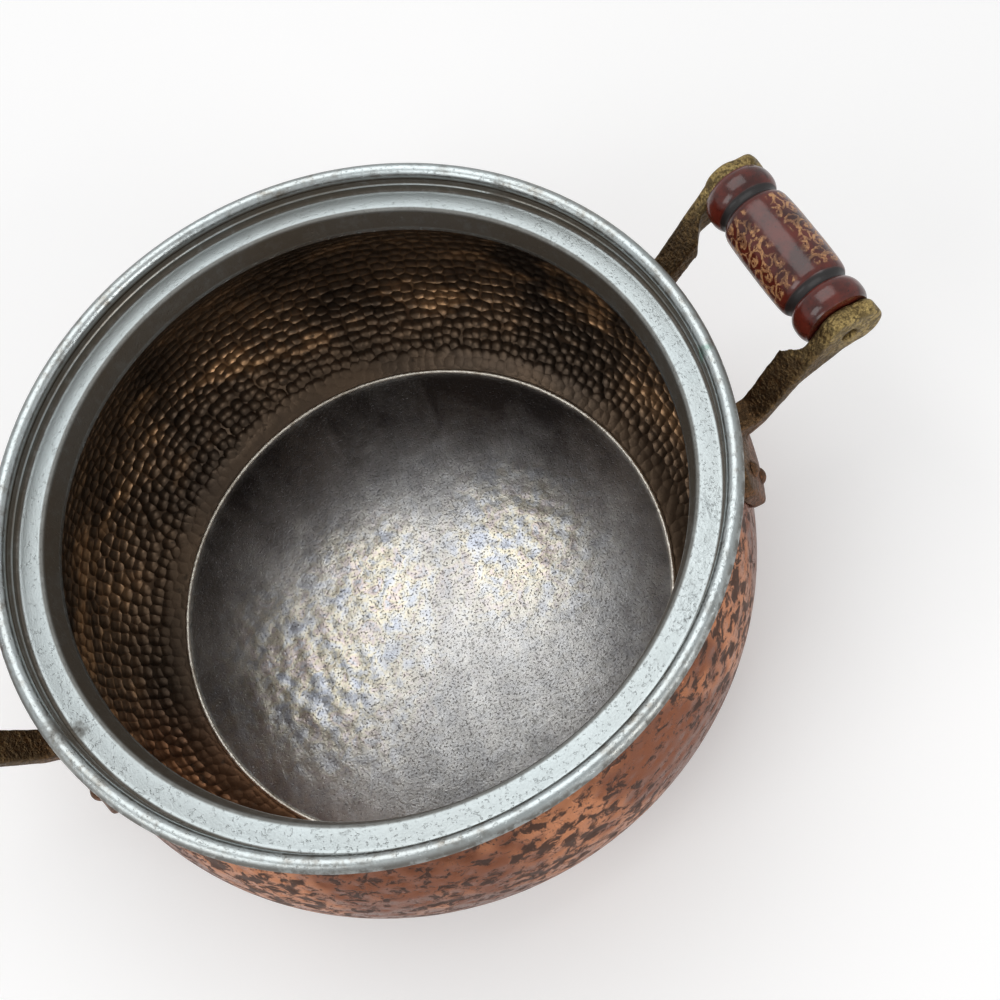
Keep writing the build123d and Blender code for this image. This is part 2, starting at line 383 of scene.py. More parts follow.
@dataclass(frozen=True)
class TarnishedWall(Finish):
    """Inside of the wall: close hammer marks under grey-brown tarnish, with golden ridges that are partly
    rubbed metal and partly painted highlight, a painted highlight band, and painted shade under the rim and
    by the floor.
    """

    dark: Color = (0.060, 0.044, 0.032)
    brown: Color = (0.17, 0.112, 0.070)
    golden_wear_and_highlight: Color = (0.62, 0.36, 0.18)
    orange: Color = (0.50, 0.21, 0.085)

    def surface(self, tree: Tree) -> Surface:
        """Round dents in rows, tarnish in the dents, brighter metal with painted highlight between them, a
        painted highlight band, and painted shade at the top and the bottom.

        Args:
            tree: the material's tree.

        Returns:
            What the finish feeds to its shader.
        """
        place = tree.place()
        uv = tree.uv()
        height = tree.split(place)[2]
        wander = tree.noise(place, 60, 2) * 0.0012
        u, v, _ = tree.split(uv)
        dents = tree.cells(tree.join(u + wander, v - wander), 255, "F1", 0.62)
        edges = tree.cells(tree.join(u + wander, v - wander), 255, "DISTANCE_TO_EDGE", 0.62)
        ridge = edges.step(0.16, 0.02)
        broad = tree.noise(place, 17, 4, 0.6)
        metal = tree.mix(broad.step(0.38, 0.62), self.dark, self.brown)
        # partly rubbed metal, partly painted highlight: the ridges between the dents are made golden
        metal = tree.mix(ridge * broad.step(0.40, 0.6) * height.step(0.012, 0.026) * 0.22, metal, self.golden_wear_and_highlight)
        # painted highlight: a golden band part way up the wall
        glow = tree.noise(tree.scale(place, (1.0, 1.0, 2.2)), 34, 3, 0.6).step(0.50, 0.66)
        glow = glow * height.band(0.040, 0.016, 0.014)
        metal = tree.mix(glow * 0.62, metal, self.golden_wear_and_highlight)
        # painted shade: the wall darkens near the top, under the rim
        metal = tree.mix(height.step(0.062, 0.080) * 0.75, metal, self.dark)
        low_left = tree.distance(place, (-0.085, -0.06, 0.03)).step(0.075, 0.02)
        metal = tree.mix(low_left * 0.65, metal, self.orange)
        stain = tree.noise(place, 240, 4, 0.65).step(0.58, 0.70)
        metal = tree.mix(stain * 0.7, metal, self.dark)
        smooth = height.step(0.009, 0.005)
        # painted shade: the wall darkens near the floor, in the corner
        metal = tree.mix(height.step(0.016, 0.006) * 0.6, metal, self.dark)
        rough = 0.30 + broad * 0.16 + stain * 0.2
        dent_depth = (dents * dents * 1.25).low(0.55) * (1.0 - smooth * 0.8)
        relief = dent_depth + tree.noise(place, 700) * 0.06
        return Surface(metal, rough, 0.95, relief, 0.0015)


@dataclass(frozen=True)
class FrostedTin(Finish):
    """Tinned rim: a frosty seat, a worn bead with a mottled painted highlight along its top, and brown dirt
    with painted shade in the grooves, under the bead, down the neck and on the bead's outer side.
    """

    tin: Color = (0.36, 0.39, 0.39)
    pale: Color = (0.56, 0.62, 0.63)
    worn: Color = (0.27, 0.255, 0.225)
    grime_and_shade: Color = (0.075, 0.055, 0.035)
    green: Color = (0.10, 0.22, 0.17)
    stains: tuple[tuple[float, float, float, float], ...] = (
        (199.0, 101.2, 98.0, 7.0), (-67.0, 102.5, 99.5, 3.5), (42.0, 101.5, 98.0, 5.5),
    )

    def spot(self, tree: Tree, place: Sig, azimuth: float, reach: float, height: float, size: float) -> Sig:
        """A soft mask round one place on the rim.

        Args:
            tree: the material's tree.
            place: object coordinates.
            azimuth: way round the rim in degrees.
            reach: distance from the axis in millimetres.
            height: height in millimetres.
            size: size of the spot in millimetres.

        Returns:
            1 in the middle of the spot, falling to 0.
        """
        turn = radians(azimuth)
        point = (reach * cos(turn) * MM, reach * sin(turn) * MM, height * MM)
        ragged = tree.distance(place, point) + (tree.noise(place, 420, 3) - 0.5) * size * 0.9 * MM
        return ragged.step(size * MM, size * 0.45 * MM)

    def surface(self, tree: Tree) -> Surface:
        """Dirt, painted shade and a painted highlight by the section of the rim, spots by the way round it.

        Args:
            tree: the material's tree.

        Returns:
            What the finish feeds to its shader.
        """
        place = tree.place()
        x, y, z = tree.split(place)
        reach = (x * x + y * y).math("SQRT")
        broad = tree.noise(place, 30, 4, 0.6)
        grain = tree.noise(place, 1500, 2, 0.7)
        mottle = tree.noise(place, 260, 4, 0.65)
        seat = reach.band(0.0968, 0.0034, 0.0006) * z.band(0.094, 0.0012, 0.0008)
        bead = z.step(0.0990, 0.1002)
        color = tree.mix(broad.step(0.35, 0.65), self.worn, self.tin)
        color = tree.mix(seat * 0.85, color, self.pale)
        # painted highlight: the top of the bead is made paler, broken up by mottle
        color = tree.mix(bead * mottle.step(0.30, 0.55) * 0.7, color, self.pale)
        # the grooves, the seat's inner edge, the bead's outer side, the neck and the underside of the bead
        # make a mask of dirt and painted shade
        groove = reach.band(0.1009, 0.0006, 0.0006) * z.step(0.1012, 0.0992)
        edge = reach.band(0.0931, 0.0006, 0.0007) * z.step(0.0925, 0.0932) * 0.8
        outer = reach.step(0.1034, 0.1052) * mottle.step(0.34, 0.56) * 0.9
        neck = reach.step(0.0934, 0.0930) * z.step(0.0937, 0.0929)
        under = z.step(0.0985, 0.0965) * reach.step(0.1015, 0.1022)
        ridge = z.band(0.0966, 0.00025, 0.0003) * reach.band(0.1006, 0.0004, 0.0002)
        lip = z.step(0.0874, 0.0866) * reach.step(0.0925, 0.0921)
        dirt = groove.high(edge).high(outer).high(neck).high(under)
        dirt = dirt * (mottle * 0.8 + 0.60).low(1.0)
        dirt = dirt * (1.0 - ridge.high(lip) * 0.9)
        for stain in self.stains:
            dirt = dirt.high(self.spot(tree, place, *stain) * 0.85)
        pits = tree.noise(place, 900, 2, 0.7).step(0.60, 0.67)
        color = tree.mix(pits * 0.07 + grain.step(0.5, 0.75) * 0.10, color, self.grime_and_shade)
        # dirt and painted shade: the mask darkens the grooves, edges, neck and underside of the bead, with
        # the real stains added in
        color = tree.mix(dirt * 0.88, color, self.grime_and_shade)
        color = tree.mix(self.spot(tree, place, -7.5, 102.4, 99.8, 3.4) * 0.85, color, self.green)
        solder = self.spot(tree, place, -41, 97.5, 95.0, 22.0)
        rough = 0.26 + seat * 0.12 + mottle * 0.12 + dirt * 0.25
        relief = grain * 0.16 + mottle * 0.16 + solder * mottle * 0.9 - pits * 0.2
        return Surface(color, rough, 1.0 - dirt * 0.4, relief, 0.00035)


@dataclass(frozen=True)
class SmearedTin(Finish):
    """Floor: smeared and beaten tin with heat colours, dark stains, pits and a painted highlight near the
    front.
    """

    dark: Color = (0.085, 0.080, 0.082)
    grey: Color = (0.31, 0.31, 0.315)
    pale: Color = (0.66, 0.66, 0.65)
    beaten: tuple[Color, ...] = ((-16.0, 9.0, 27.0), (-44.0, -12.0, 36.0), (34.0, -2.0, 28.0))

    def patch(self, tree: Tree, place: Sig, x: float, y: float, size: float) -> Sig:
        """A ragged beaten patch round one place of the floor.

        Args:
            tree: the material's tree.
            place: object coordinates.
            x: place of the middle in millimetres.
            y: place of the middle in millimetres.
            size: size of the patch in millimetres.

        Returns:
            1 in the middle of the patch, falling to 0.
        """
        reach = tree.distance(place, (x * MM, y * MM, 2.4 * MM))
        ragged = reach + (tree.noise(place, 90, 4, 0.65) - 0.5) * 0.035
        return ragged.step(size * 1.4 * MM, size * 0.2 * MM)

    def surface(self, tree: Tree) -> Surface:
        """Smears, heat colours, pits, hammer marks and a painted highlight near the front.

        Args:
            tree: the material's tree.

        Returns:
            What the finish feeds to its shader.
        """
        place = tree.place()
        broad = tree.noise(place, 20, 5, 0.6, 0.5)
        smear = tree.noise(tree.scale(place, (1.0, 0.55, 1.0)), 75, 5, 0.68, 0.6)
        salt = tree.noise(place, 1150, 2, 0.75)
        # painted highlight: the floor grows lighter round a place near its front
        painted_highlight_pool = tree.distance(place, (-0.006, -0.028, 0.0)).step(0.112, 0.045)
        patches = self.patch(tree, place, *self.beaten[0])
        for spot in self.beaten[1:]:
            patches = patches.high(self.patch(tree, place, *spot))
        light = broad * 0.55 + smear * 0.55 + painted_highlight_pool * 0.40 + patches * 0.20 + salt * 0.16 - 0.43
        color = tree.ramp(light, (0.14, self.dark), (0.42, self.grey), (0.76, self.pale))
        hue = tree.noise(place, 190, 3, 0.6, 0.3)
        heat = tree.ramp(
            hue, (0.34, (0.68, 0.73, 0.85)), (0.44, (0.86, 0.87, 0.88)), (0.53, (0.96, 0.89, 0.68)),
            (0.60, (0.92, 0.78, 0.76)), (0.68, (0.78, 0.81, 0.88)),
        )
        settings = {"data_type": "RGBA", "blend_type": "MULTIPLY"}
        color = tree.node("ShaderNodeMix", settings, {0: patches * 0.85 + 0.10, 6: color, 7: heat}, 2)
        dents = tree.cells(place, 190, "SMOOTH_F1", 0.9)
        stain = tree.noise(place, 420, 4, 0.7, 0.3).step(0.56, 0.66)
        pits = tree.noise(place, 1300, 2, 0.6).step(0.58, 0.68)
        dark = (stain * 0.30).high(pits * (patches * 0.45 + 0.14))
        color = tree.mix(dark, color, self.dark)
        rough = 0.30 + broad * 0.24 + stain * 0.15 - patches * 0.06
        relief = dents * (patches * 0.45 + 0.14) + smear * 0.22 - pits * 0.16 + salt * 0.12
        return Surface(color, rough, 0.95, relief, 0.0008)


@dataclass(frozen=True)
class GrainySolder(Finish):
    """Seam round the floor: thin bright solder with a sparkly grain."""

    pale: Color = (0.74, 0.70, 0.62)
    brown: Color = (0.22, 0.16, 0.10)

    def surface(self, tree: Tree) -> Surface:
        """Grain and brown stretches.

        Args:
            tree: the material's tree.

        Returns:
            What the finish feeds to its shader.
        """
        place = tree.place()
        worn = tree.noise(place, 70, 4, 0.7).step(0.52, 0.68)
        grain = tree.noise(place, 900, 3, 0.7)
        color = tree.mix(worn * 0.75, self.pale, self.brown)
        color = tree.mix(grain.step(0.58, 0.68) * 0.5, color, self.brown)
        return Surface(color, 0.28 + grain * 0.2, 1.0, grain, 0.0003)


@dataclass(frozen=True)
class CastBrass(Finish):
    """Cast arms and rivets: brass under speckled brown patina, redder at the belly and golden at the eyes."""

    gold: Color = (0.42, 0.31, 0.125)
    brown: Color = (0.145, 0.092, 0.042)
    red: Color = (0.21, 0.092, 0.048)
    dirt: Color = (0.045, 0.032, 0.020)

    def surface(self, tree: Tree) -> Surface:
        """Patina by height, speckle and a grainy casting skin.

        Args:
            tree: the material's tree.

        Returns:
            What the finish feeds to its shader.
        """
        place = tree.place()
        height = tree.split(place)[2]
        broad = tree.noise(place, 110, 4, 0.65)
        speckle = tree.noise(place, 950, 3, 0.65)
        skin = tree.noise(place, 480, 4, 0.6)
        rubbed = (height.step(0.080, 0.106) * 0.7 + broad * 1.1 - 0.62).step(0.05, 0.66)
        color = tree.mix(height.step(0.078, 0.062), self.brown, self.red)
        color = tree.mix(rubbed, color, self.gold)
        blots = tree.noise(place, 260, 4, 0.7).step(0.44, 0.60)
        dark = (speckle.step(0.44, 0.60) * 0.72).high(blots * 0.62)
        color = tree.mix(dark, color, self.dirt)
        return Surface(color, 0.30 + skin * 0.22 + dark * 0.1, 0.95, skin * 0.8 + speckle * 0.35, 0.0016)


@dataclass(frozen=True)
class DullSteel(Finish):
    """Rods and wire: steel with a brown film."""

    steel: Color = (0.36, 0.33, 0.29)
    film: Color = (0.11, 0.075, 0.045)

    def surface(self, tree: Tree) -> Surface:
        """A patchy film.

        Args:
            tree: the material's tree.

        Returns:
            What the finish feeds to its shader.
        """
        place = tree.place()
        patch = tree.noise(place, 400, 4, 0.65)
        color = tree.mix(patch.step(0.42, 0.62), self.steel, self.film)
        return Surface(color, 0.34 + patch * 0.2, 0.9, patch, 0.0002)


@dataclass(frozen=True)
class PaintedLacquer(Finish):
    """Grips: dark red lacquer, blackened grooves and a worn tan scroll ornament in two long bands."""

    red: Color = (0.120, 0.017, 0.010)
    deep: Color = (0.040, 0.007, 0.005)
    black: Color = (0.008, 0.006, 0.006)
    tan: Color = (0.56, 0.29, 0.12)
    barrel: float = 14.2
    tile: float = 6.6

    def scroll(self, tree: Tree, around: Sig, along: Sig) -> Sig:
        """Spiral stems and petals in small tiles, each tile turned the other way from its neighbour.

        Args:
            tree: the material's tree.
            around: distance round the grip.
            along: distance along it.

        Returns:
            1 on the ornament.
        """
        size = self.tile * MM
        across, rise = around / size, along / size + 0.5
        column = across.math("FLOOR")
        turned = (column + rise.math("FLOOR")).math("MODULO", 2.0).math("ABSOLUTE") * 2.0 - 1.0
        px = (across.math("FRACT") - 0.5) * turned
        py = rise.math("FRACT") - 0.5
        reach = (px * px + py * py).math("SQRT")
        angle = py.math("ARCTAN2", px)
        stem = (angle + reach * 17.0).math("SINE").step(0.15, 0.55) * reach.step(0.56, 0.50)
        petals = (angle * 5.0).math("COSINE") * 0.07 + 0.15
        flower = (petals - reach).step(0.0, 0.035)
        leaves = ((angle * 4.0 + 0.8).math("SINE") * 0.10 + 0.55 - reach).math("ABSOLUTE").step(0.065, 0.03)
        return stem.high(flower).high(leaves)

    def surface(self, tree: Tree) -> Surface:
        """Lacquer, ornament, blackened grooves and wear.

        Args:
            tree: the material's tree.

        Returns:
            What the finish feeds to its shader.
        """
        place = tree.place()
        around, along, _ = tree.split(tree.uv())
        wobble = (tree.noise(place, 420, 4, 0.7) - 0.5) * 0.0034
        ornament = self.scroll(tree, around + wobble, along + wobble)
        broad = tree.noise(place, 130, 4, 0.65)
        crumbs = tree.noise(place, 900, 3, 0.65)
        worn = (crumbs * 0.7 + broad * 0.5).step(0.52, 0.64)
        turn = around / (0.0107 * pi) + (broad - 0.5) * 0.22
        wide = turn.band(-0.04, 0.41, 0.05)
        narrow = turn.math("ABSOLUTE").band(1.0, 0.29, 0.05)
        on_barrel = along.math("ABSOLUTE").step(self.barrel * MM, (self.barrel - 0.9) * MM)
        painted = ornament * (1.0 - worn * 0.7) * wide.high(narrow) * on_barrel
        groove = along.math("ABSOLUTE").band(0.0172, 0.0013, 0.0006)
        color = tree.mix(broad.step(0.35, 0.68), self.red, self.deep)
        color = tree.mix(groove.high(crumbs.step(0.62, 0.70) * 0.6), color, self.black)
        color = tree.mix(painted * 0.9, color, self.tan)
        relief = painted * 0.25 + broad * 0.5 + crumbs * 0.08
        return Surface(color, 0.16 + painted * 0.25 + broad * 0.08 + groove * 0.4, 0.0, relief, 0.00035, 0.2)


@dataclass(frozen=True)
class PaleFloor(Finish):
    """Plain floor under the pot, white where the camera sees it away from the pot's shadow."""

    paint: Color = (0.93, 0.93, 0.93)
    lift: float = 0.15
    white_from: float = 0.22
    white_to: float = 0.75

    def material(self) -> bpy.types.Material:
        """Make plain pale paint with a little glow for the camera alone.

        Returns:
            The material.
        """
        material = bpy.data.materials.new(self.name)
        tree = Tree(material)
        values = {"Base Color": (*self.paint, 1.0), "Roughness": 0.9}
        paint = tree.node("ShaderNodeBsdfPrincipled", {}, values)
        glow = tree.node("ShaderNodeEmission", {}, {"Color": (1.0, 1.0, 1.0, 1.0), "Strength": self.lift})
        lifted = tree.node("ShaderNodeAddShader", {}, {0: paint, 1: glow})
        white = tree.node("ShaderNodeEmission", {}, {"Color": (1.0, 1.0, 1.0, 1.0), "Strength": 1.0})
        far = tree.distance(tree.place(), (0.0, 0.0, 0.0)).step(self.white_from, self.white_to)
        lifted = tree.node("ShaderNodeMixShader", {}, {0: far, 1: lifted, 2: white})
        seen = tree.node("ShaderNodeLightPath", {}, {}, "Is Camera Ray")
        tree.finish(tree.node("ShaderNodeMixShader", {}, {0: seen, 1: paint, 2: lifted}))
        return material


def only(piece: Optional[bpy.types.Object]) -> None:
    """Leave one object selected and active, or none.

    Args:
        piece: the object, or None.
    """
    if bpy.context.object and bpy.context.object.mode != "OBJECT":
        bpy.ops.object.mode_set(mode="OBJECT")
    bpy.ops.object.select_all(action="DESELECT")
    bpy.context.view_layer.objects.active = piece
    if piece:
        piece.select_set(True)


@dataclass
class Turning:
    """A piece turned from a closed section about an axis."""

    name: str
    section: list[Point]
    steps: int = 192
    center: Vector = field(default_factory=lambda: Vector((0, 0, 0)))
    axis: Vector = field(default_factory=lambda: Vector((0, 0, 1)))
    out: Vector = field(default_factory=lambda: Vector((0, 1, 0)))
    round_radius: float = 100.0

    def at(self, point: Point) -> Vector:
        """The place of a point of the section, given as reach and rise in millimetres."""
        return self.center + self.out * point[0] * MM + self.axis * point[1] * MM

    def build(self) -> bpy.types.Object:
        """Extrude the section from one vertex, spin it and give it its UV map.

        Returns:
            The finished piece.
        """
        only(None)
        bpy.ops.mesh.primitive_plane_add(size=0.001, location=(0, 0, 0))
        piece = bpy.context.object
        piece.name = self.name
        bpy.ops.object.mode_set(mode="EDIT")
        bpy.ops.mesh.select_all(action="SELECT")
        bpy.ops.mesh.merge(type="CENTER")
        last = Vector((0, 0, 0))
        bpy.ops.transform.translate(value=self.at(self.section[0]) - last)
        last = self.at(self.section[0])
        for point in [*self.section[1:], self.section[0]]:
            spot = self.at(point)
            bpy.ops.mesh.extrude_region_move(TRANSFORM_OT_translate={"value": spot - last})
            last = spot
        bpy.ops.mesh.select_all(action="SELECT")
        bpy.ops.mesh.remove_doubles(threshold=WELD)
        bpy.ops.mesh.spin(steps=self.steps, angle=2 * pi, center=self.center, axis=self.axis)
        bpy.ops.mesh.select_all(action="SELECT")
        bpy.ops.mesh.remove_doubles(threshold=SPIN_WELD)
        bpy.ops.mesh.normals_make_consistent(inside=False)
        bpy.ops.object.mode_set(mode="OBJECT")
        self._map(piece)
        bpy.ops.object.shade_smooth_by_angle(angle=radians(38))
        return piece

    def _map(self, piece: bpy.types.Object) -> None:
        """Write the UV map: distance round the axis from the outward side, and along the section.

        Args:
            piece: the turned piece.
        """
        mesh = piece.data
        spots = np.empty(len(mesh.vertices) * 3)
        mesh.vertices.foreach_get("co", spots)
        spots = spots.reshape(-1, 3) - np.array(self.center)
        side = np.array(self.axis.cross(self.out))
        turn = np.arctan2(spots @ side, spots @ np.array(self.out))
        rise = spots @ np.array(self.axis)
        loops = np.empty(len(mesh.loops), dtype=np.int64)
        mesh.loops.foreach_get("vertex_index", loops)
        sizes = np.empty(len(mesh.polygons), dtype=np.int64)
        mesh.polygons.foreach_get("loop_total", sizes)
        face = np.repeat(np.arange(len(sizes)), sizes)
        firsts = np.concatenate([[0], np.cumsum(sizes)[:-1]])
        base = turn[loops[firsts]][face]
        corner = base + (turn[loops] - base + pi) % (2 * pi) - pi
        along = self._along(spots, rise)[loops]
        layer = mesh.uv_layers.new(name="section")
        layer.data.foreach_set("uv", np.stack([corner * self.round_radius * MM, along], axis=1).ravel())

    def _along(self, spots: np.ndarray, rise: np.ndarray) -> np.ndarray:
        """Distance along the axis, or along the section where the axis is upright.

        Args:
            spots: the vertices, from the centre.
            rise: their distance along the axis.

        Returns:
            One distance for each vertex.
        """
        if abs(self.axis.z) < 0.5:
            return rise
        reach = np.hypot(spots[:, 0], spots[:, 1])
        section = np.array(self.section) * MM
        lengths = np.concatenate([[0], np.cumsum(np.hypot(*np.diff(section, axis=0).T))])
        across = (reach[:, None] - section[:, 0]) ** 2
        nearest = (across + (rise[:, None] - section[:, 1]) ** 2).argmin(axis=1)
        return lengths[nearest]


def arc(center: Point, radius: float, start: float, end: float, count: int) -> list[Point]:
    """Points of an arc, with its angles in degrees."""
    turns = [radians(start + (end - start) * i / count) for i in range(count + 1)]
    return [(center[0] + radius * cos(t), center[1] + radius * sin(t)) for t in turns]


def dress(piece: bpy.types.Object, finishes: Sequence[Finish], slot: str, body: str, *nodes: str) -> None:
    """Give a piece its finishes, its body and the nodes that it stands for.

    Args:
        piece: the finished mesh.
        finishes: one for each material index.
        slot: the record's material slot; not used.
        body: the body that it moves with.
        nodes: the nodes that it replaces.
    """
    piece.data.materials.clear()
    for finish in finishes:
        piece.data.materials.append(finish.material())
    if nodes:
        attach(piece, body)
        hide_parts(*nodes)
    log.info("%s: %d faces", piece.name, len(piece.data.polygons))


@dataclass
class PotWall:
    """The copper wall with its turned-in foot and its collar, in millimetres."""

    thickness: float = 1.2
    base: float = 87.6
    flange: float = 6.0
    belly: float = 112.6
    belly_height: float = 43.5
    shoulder_arc: float = 55.0
    collar: float = 95.56
    collar_top: float = 92.74

    def radius(self, height: float, inset: float) -> float:
        """Radius of the outer face at a height, or of one inset from it.

        Args:
            height: height in millimetres.
            inset: distance in from the outer face.

        Returns:
            The radius in millimetres.
        """
        run = self.belly - self.base
        lower = (self.belly_height**2 + run**2) / (2 * run)
        bend = lower if height < self.belly_height else self.shoulder_arc
        return self.belly - bend + sqrt((bend - inset) ** 2 - (height - self.belly_height) ** 2)

    def collar_start(self, inset: float) -> float:
        """Height where a face of the wall turns up into the collar."""
        reach = self.collar - inset - self.belly + self.shoulder_arc
        return self.belly_height + sqrt((self.shoulder_arc - inset) ** 2 - reach**2)

    def face(self, low: float, inset: float) -> list[Point]:
        """Points of one face of the wall from a low height to its collar.

        Args:
            low: lowest height in millimetres.
            inset: distance in from the outer face.

        Returns:
            The points, from the bottom up.
        """
        high = self.collar_start(inset)
        heights = [low + (high - low) * i / 46 for i in range(47)]
        return [(self.radius(height, inset), height) for height in heights]

    def build(self) -> bpy.types.Object:
        """Turn the wall as one closed shell.

        Returns:
            The wall.
        """
        inner = self.face(self.thickness, self.thickness)
        section = [(self.base - self.flange, 0.0), *self.face(0.0, 0.0), (self.collar, self.collar_top)]
        section += [(self.collar - self.thickness, self.collar_top), *reversed(inner)]
        section += [(self.base - self.flange, self.thickness)]
        return Turning("wall_shell", section, ROUND_STEPS).build()

    def dress(self, wall: bpy.types.Object) -> None:
        """Copper outside and tarnish inside, told apart by the faces' direction.

        Args:
            wall: the finished wall.
        """
        finishes = (SpeckledCopper("speckled_copper"), TarnishedWall("tarnished_wall"))
        dress(wall, finishes, "copper", "pot", "pot_body")
        for polygon in wall.data.polygons:
            middle = polygon.center
            inward = polygon.normal.x * middle.x + polygon.normal.y * middle.y < 0
            polygon.material_index = 1 if inward and middle.z > self.thickness * MM else 0


@dataclass
class PotRim:
    """The formed rim: bead, grooved step, seat and neck, in millimetres."""

    outer: float = 105.4
    top: float = 102.5
    bead: float = 2.3
    sheet: float = 1.2
    seat_out: float = 100.5
    seat_in: float = 93.1
    seat: float = 94.0
    corner: float = 0.9
    groove: float = 0.45
    ridge: float = 2.6
    lip: float = 91.5
    lip_height: float = 85.7

    def build(self) -> bpy.types.Object:
        """Turn the rim from its rounded section.

        Returns:
            The rim.
        """
        middle = (self.outer - self.bead, self.top - self.bead)
        deep = self.seat_out + self.groove
        ridge = self.seat + self.ridge
        section = arc(middle, self.bead, -132, 222, 40)
        section += [
            (deep, middle[1] - 1.6), (deep, ridge + 0.75), (deep - 0.12, ridge + 0.45),
            (self.seat_out + 0.05, ridge + 0.12), (self.seat_out + 0.05, ridge - 0.12),
            (deep - 0.12, ridge - 0.45), (deep, ridge - 0.75), (deep, self.seat + 0.7),
            (deep - 0.15, self.seat + 0.3), (self.seat_out - 0.25, self.seat),
            (self.seat_out - 1.5, self.seat - 0.03), (97.0, self.seat),
            (self.seat_in + 1.6, self.seat + 0.03),
        ]
        section += arc((self.seat_in + 0.75, self.seat - self.corner), self.corner, 95, 170, 7)
        section += [
            (self.lip + 0.35, self.lip_height + 2.0), (self.lip, self.lip_height + 0.25),
            (self.lip + 0.35, self.lip_height),
            (self.lip + self.sheet, self.lip_height), (self.seat_in + self.sheet, self.seat - self.sheet),
            (deep + self.sheet, self.seat - self.sheet), (deep + self.sheet, middle[1] - 1.9),
        ]
        return Turning("rim_shell", section, ROUND_STEPS).build()

    def dress(self, rim: bpy.types.Object) -> None:
        """Frosted tin all over."""
        dress(rim, (FrostedTin("frosted_tin"),), "tinned_rim", "pot", "rim_ring")


@dataclass
class PotFloor:
    """The floor plate and the seam round it, in millimetres."""

    low: float = 1.2
    high: float = 2.4
    radius: float = 87.22
    seam: float = 87.72
    seam_top: float = 3.5

    def build(self) -> tuple[bpy.types.Object, bpy.types.Object]:
        """Bevel a disc for the plate, and turn the seam.

        Returns:
            The plate and the seam.
        """
        only(None)
        middle = (self.low + self.high) / 2 * MM
        size = (self.high - self.low) * MM
        bpy.ops.mesh.primitive_cylinder_add(
            vertices=ROUND_STEPS, radius=self.radius * MM, depth=size, location=(0, 0, middle)
        )
        plate = bpy.context.object
        plate.name = "floor_plate"
        bpy.ops.object.transform_apply(location=True, rotation=True, scale=True)
        bpy.ops.object.mode_set(mode="EDIT")
        bpy.ops.mesh.select_all(action="SELECT")
        bpy.ops.mesh.bevel(offset=0.25 * MM, segments=2, affect="EDGES")
        bpy.ops.object.mode_set(mode="OBJECT")
        bpy.ops.object.shade_smooth_by_angle(angle=radians(35))
        section = arc((self.seam, self.high), 1.0, 0, 180, 12)
        section = [(reach, self.high + (rise - self.high) * 1.1) for reach, rise in section]
        ring = Turning("floor_seam", section, ROUND_STEPS).build()
        uneven = bpy.data.textures.new("seam_waves", "CLOUDS")
        uneven.noise_scale = 0.012
        waves = ring.modifiers.new("waves", "DISPLACE")
        waves.texture = uneven
        waves.strength = 0.35 * MM
        waves.mid_level = 0.75
        bpy.ops.object.modifier_apply(modifier="waves")
        return plate, ring

    def dress(self, plate: bpy.types.Object, ring: bpy.types.Object) -> None:
        """Smeared tin on the plate and solder on the seam."""
        dress(plate, (SmearedTin("smeared_tin"),), "tinned_floor", "pot", "base_disc")
        dress(ring, (GrainySolder("grainy_solder"),), "solder", "pot", "seam_ring")


